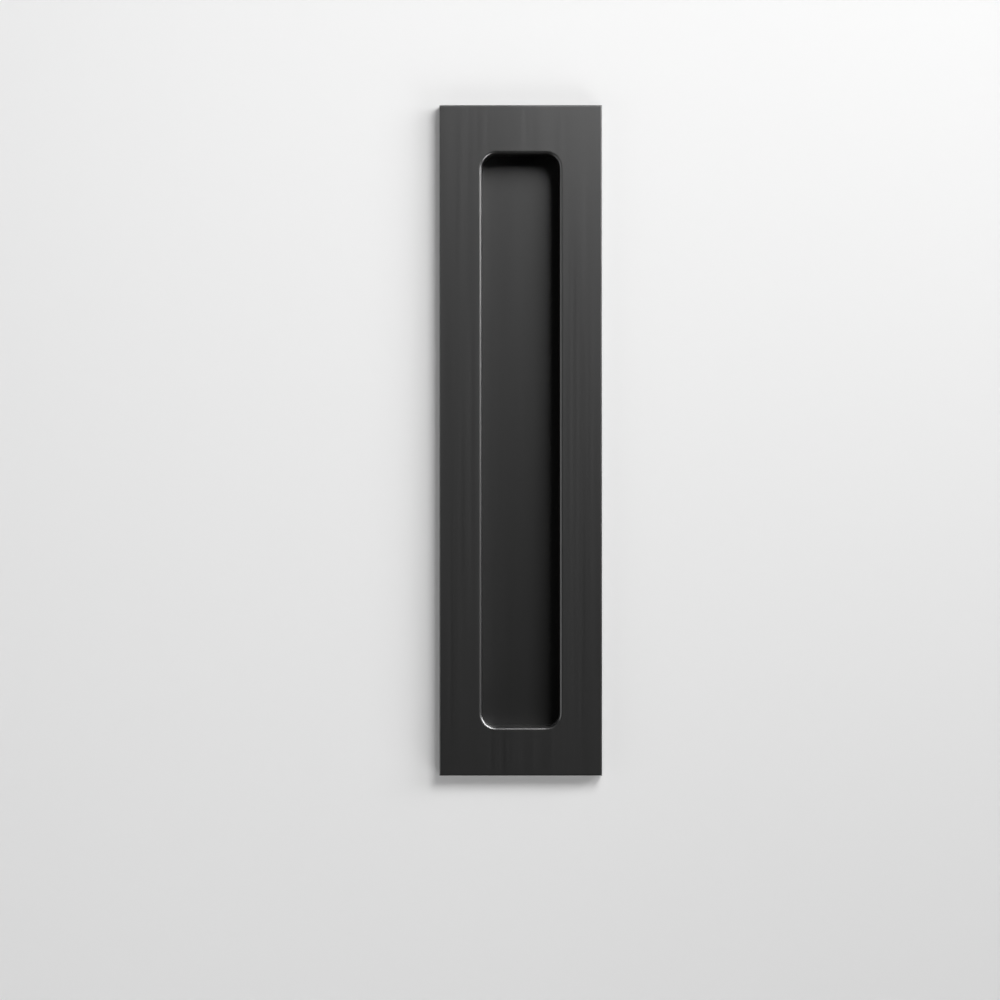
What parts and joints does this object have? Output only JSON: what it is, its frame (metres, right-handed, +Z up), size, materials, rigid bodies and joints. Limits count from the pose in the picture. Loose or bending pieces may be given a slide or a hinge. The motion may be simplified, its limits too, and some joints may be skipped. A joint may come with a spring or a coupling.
{
  "type": "flush finger pull",
  "caption": "Flush finger pull for a door: a flat rectangular plate with a long rounded finger pocket, black anodised, held by hidden screws from behind.",
  "frame": {"origin": "middle of the plate, on the plane of the door's face that the back of the plate seats on", "axes": "+X to the right seen from the front, +Z up along the pull's length, -Y out of the door towards the hand, +Y into the door"},
  "size_m": [0.04, 0.012, 0.165],
  "materials": {
    "black_anodised": "brushed along its length, then black anodised to a satin sheen"
  },
  "bodies": {
    "root": {"pull_body": "black_anodised"}
  },
  "joints": []
}
